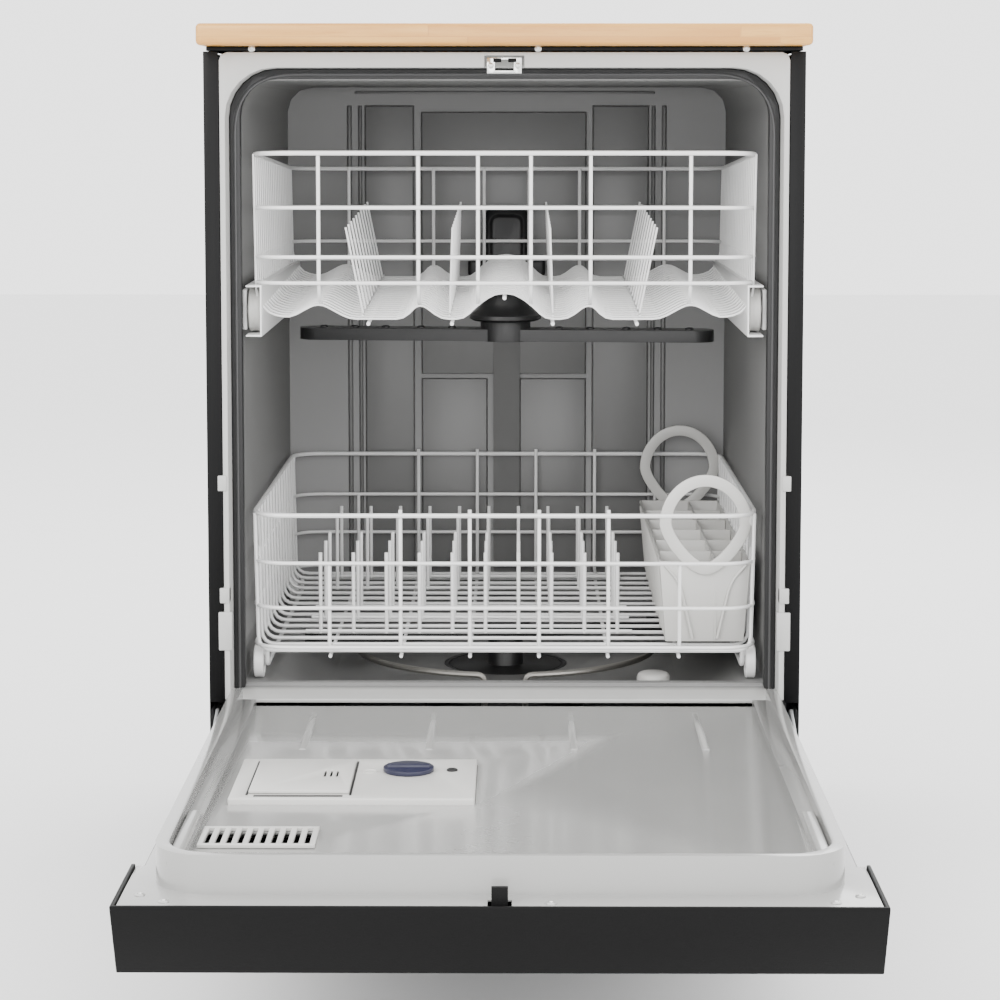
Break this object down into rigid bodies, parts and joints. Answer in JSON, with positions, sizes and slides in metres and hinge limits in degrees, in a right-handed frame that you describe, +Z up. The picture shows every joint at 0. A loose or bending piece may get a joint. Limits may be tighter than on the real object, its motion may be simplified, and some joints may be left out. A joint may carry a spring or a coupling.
{
  "type": "portable dishwasher",
  "caption": "Free-standing dishwasher on castors with a worktop: drop-down front door, two pull-out wire racks, cutlery basket and spray arms.",
  "frame": {"origin": "on the floor, at the middle of the footprint of the whole object with its door open", "axes": "+Z up; the door opens towards -Y, which is the front; +X is the right side seen from the front"},
  "size_m": [0.614, 1.3, 0.924],
  "materials": {
    "maple_laminate": "butcher-block patterned laminate, satin",
    "black_enamel": "satin black enamel",
    "black_plastic": "fine-textured black plastic",
    "black_rubber": "matt black rubber",
    "light_grey_plastic": "light warm grey plastic, soft gloss",
    "grey_tub_plastic": "mid grey moulded plastic",
    "dark_grey_plastic": "dark grey plastic",
    "white_nylon": "white nylon coating",
    "blue_cap": "blue plastic",
    "bright_steel": "plain bright steel",
    "cast_iron": "rough cast"
  },
  "bodies": {
    "cabinet": {"worktop": "maple_laminate", "worktop_frame": "black_enamel", "left_side_panel": "black_enamel", "right_side_panel": "black_enamel", "rear_panel": "black_enamel", "base_frame": "bright_steel", "toe_panel": "black_enamel", "tub": "grey_tub_plastic", "tub_gasket": "black_rubber", "door_strike": "bright_steel", "feed_tube": "dark_grey_plastic", "sump": "dark_grey_plastic", "filter_screen": "dark_grey_plastic", "wash_pump": "bright_steel", "drain_pump": "dark_grey_plastic", "heater_element": "bright_steel", "counterweight": "cast_iron", "coupling_panel": "dark_grey_plastic", "left_roller_bracket": "white_nylon", "right_roller_bracket": "white_nylon", "left_door_spring": "bright_steel", "right_door_spring": "bright_steel"},
    "door": {"door_outer_panel": "black_enamel", "door_liner": "light_grey_plastic", "door_console": "black_plastic", "dispenser_body": "light_grey_plastic", "vent_cover": "light_grey_plastic", "left_hinge_arm": "bright_steel", "right_hinge_arm": "bright_steel"},
    "detergent_lid": {"detergent_lid": "light_grey_plastic"},
    "rinse_cap": {"rinse_cap": "blue_cap"},
    "latch": {"latch_lever": "black_plastic"},
    "start_button": {"start_button": "black_plastic"},
    "options_button": {"options_button": "black_plastic"},
    "cycle_dial": {"cycle_dial": "bright_steel"},
    "float": {"float_dome": "light_grey_plastic"},
    "upper_rack": {"upper_rack_walls": "white_nylon", "upper_rack_floor": "white_nylon", "upper_rack_tines": "white_nylon", "left_upper_rail": "white_nylon", "right_upper_rail": "white_nylon", "upper_feed_pipe": "dark_grey_plastic"},
    "upper_arm": {"upper_spray_arm": "dark_grey_plastic"},
    "lower_rack": {"lower_rack_walls": "white_nylon", "lower_rack_floor": "white_nylon", "lower_rack_tines": "white_nylon", "cutlery_basket": "light_grey_plastic"},
    "lower_arm": {"lower_spray_arm": "dark_grey_plastic"},
    "castor_front_right": {"castor_front_right": "black_rubber"},
    "castor_front_left": {"castor_front_left": "black_rubber"},
    "castor_rear_right": {"castor_rear_right": "black_rubber"},
    "castor_rear_left": {"castor_rear_left": "black_rubber"},
    "roller_front_right": {"roller_front_right": "light_grey_plastic"},
    "roller_front_left": {"roller_front_left": "light_grey_plastic"},
    "roller_rear_right": {"roller_rear_right": "light_grey_plastic"},
    "roller_rear_left": {"roller_rear_left": "light_grey_plastic"},
    "rack_wheel_front_right": {"rack_wheel_front_right": "light_grey_plastic"},
    "rack_wheel_front_left": {"rack_wheel_front_left": "light_grey_plastic"},
    "rack_wheel_rear_right": {"rack_wheel_rear_right": "light_grey_plastic"},
    "rack_wheel_rear_left": {"rack_wheel_rear_left": "light_grey_plastic"}
  },
  "joints": [
    {"name": "door_hinge", "type": "hinge", "parent": "cabinet", "child": "door", "pos_m": [0, 0.0305, 0.2165], "axis": [-1, 0, 0], "range_deg": [0, 90]},
    {"name": "detergent_lid_hinge", "type": "hinge", "parent": "door", "child": "detergent_lid", "pos_m": [-0.178, -0.254, 0.2423], "axis": [-1, 0, 0], "range_deg": [0, 85]},
    {"name": "rinse_cap_turn", "type": "hinge", "parent": "door", "child": "rinse_cap", "pos_m": [-0.085, -0.286, 0.2405], "axis": [0, 0, 1], "range_deg": [0, 90]},
    {"name": "latch_pivot", "type": "hinge", "parent": "door", "child": "latch", "pos_m": [0, -0.63, 0.196], "axis": [1, 0, 0], "range_deg": [0, 5], "stiffness_Nm_per_rad": 1, "springref_deg": -5.73},
    {"name": "start_button_press", "type": "slide", "parent": "door", "child": "start_button", "axis": [0, 0, 1], "range_m": [0, 0.003], "stiffness_N_per_m": 200, "springref_m": -0.004},
    {"name": "options_button_press", "type": "slide", "parent": "door", "child": "options_button", "axis": [0, 0, 1], "range_m": [0, 0.003], "stiffness_N_per_m": 200, "springref_m": -0.004},
    {"name": "cycle_dial_turn", "type": "hinge", "parent": "door", "child": "cycle_dial", "pos_m": [0.19, -0.566, 0.1605], "axis": [0, 0, -1], "continuous": true},
    {"name": "float_lift", "type": "slide", "parent": "cabinet", "child": "float", "axis": [0, 0, 1], "range_m": [0, 0.006]},
    {"name": "upper_rack_slide", "type": "slide", "parent": "cabinet", "child": "upper_rack", "axis": [0, 1, 0], "range_m": [-0.38, 0]},
    {"name": "upper_arm_spin", "type": "hinge", "parent": "upper_rack", "child": "upper_arm", "pos_m": [0, 0.313, 0.59], "axis": [0, 0, 1], "continuous": true},
    {"name": "lower_rack_slide", "type": "slide", "parent": "cabinet", "child": "lower_rack", "axis": [0, 1, 0], "range_m": [-0.5, 0]},
    {"name": "lower_arm_spin", "type": "hinge", "parent": "cabinet", "child": "lower_arm", "pos_m": [0, 0.338, 0.2515], "axis": [0, 0, 1], "continuous": true},
    {"name": "castor_front_right_spin", "type": "hinge", "parent": "cabinet", "child": "castor_front_right", "pos_m": [0.268, 0.123, 0.025], "axis": [-1, 0, 0], "continuous": true},
    {"name": "castor_front_left_spin", "type": "hinge", "parent": "cabinet", "child": "castor_front_left", "pos_m": [-0.268, 0.123, 0.025], "axis": [-1, 0, 0], "continuous": true},
    {"name": "castor_rear_right_spin", "type": "hinge", "parent": "cabinet", "child": "castor_rear_right", "pos_m": [0.268, 0.593, 0.025], "axis": [-1, 0, 0], "continuous": true},
    {"name": "castor_rear_left_spin", "type": "hinge", "parent": "cabinet", "child": "castor_rear_left", "pos_m": [-0.268, 0.593, 0.025], "axis": [-1, 0, 0], "continuous": true},
    {"name": "roller_front_right_spin", "type": "hinge", "parent": "cabinet", "child": "roller_front_right", "pos_m": [0.258, 0.104, 0.633], "axis": [-1, 0, 0], "range_deg": [-905, 5]},
    {"name": "roller_front_left_spin", "type": "hinge", "parent": "cabinet", "child": "roller_front_left", "pos_m": [-0.258, 0.104, 0.633], "axis": [-1, 0, 0], "range_deg": [-905, 5]},
    {"name": "roller_rear_right_spin", "type": "hinge", "parent": "cabinet", "child": "roller_rear_right", "pos_m": [0.258, 0.156, 0.633], "axis": [-1, 0, 0], "range_deg": [-905, 5]},
    {"name": "roller_rear_left_spin", "type": "hinge", "parent": "cabinet", "child": "roller_rear_left", "pos_m": [-0.258, 0.156, 0.633], "axis": [-1, 0, 0], "range_deg": [-905, 5]},
    {"name": "rack_wheel_front_right_spin", "type": "hinge", "parent": "lower_rack", "child": "rack_wheel_front_right", "pos_m": [0.2585, 0.114, 0.2605], "axis": [-1, 0, 0], "range_deg": [-1600, 5]},
    {"name": "rack_wheel_front_left_spin", "type": "hinge", "parent": "lower_rack", "child": "rack_wheel_front_left", "pos_m": [-0.2585, 0.114, 0.2605], "axis": [-1, 0, 0], "range_deg": [-1600, 5]},
    {"name": "rack_wheel_rear_right_spin", "type": "hinge", "parent": "lower_rack", "child": "rack_wheel_rear_right", "pos_m": [0.2585, 0.556, 0.2605], "axis": [-1, 0, 0], "range_deg": [-1600, 5]},
    {"name": "rack_wheel_rear_left_spin", "type": "hinge", "parent": "lower_rack", "child": "rack_wheel_rear_left", "pos_m": [-0.2585, 0.556, 0.2605], "axis": [-1, 0, 0], "range_deg": [-1600, 5]}
  ],
  "couplings": [
    {"joint": "roller_front_right_spin", "follows": "upper_rack_slide", "rad_per_m": 41.322},
    {"joint": "roller_front_left_spin", "follows": "upper_rack_slide", "rad_per_m": 41.322},
    {"joint": "roller_rear_right_spin", "follows": "upper_rack_slide", "rad_per_m": 41.322},
    {"joint": "roller_rear_left_spin", "follows": "upper_rack_slide", "rad_per_m": 41.322},
    {"joint": "rack_wheel_front_right_spin", "follows": "lower_rack_slide", "rad_per_m": 55.556},
    {"joint": "rack_wheel_front_left_spin", "follows": "lower_rack_slide", "rad_per_m": 55.556},
    {"joint": "rack_wheel_rear_right_spin", "follows": "lower_rack_slide", "rad_per_m": 55.556},
    {"joint": "rack_wheel_rear_left_spin", "follows": "lower_rack_slide", "rad_per_m": 55.556}
  ]
}
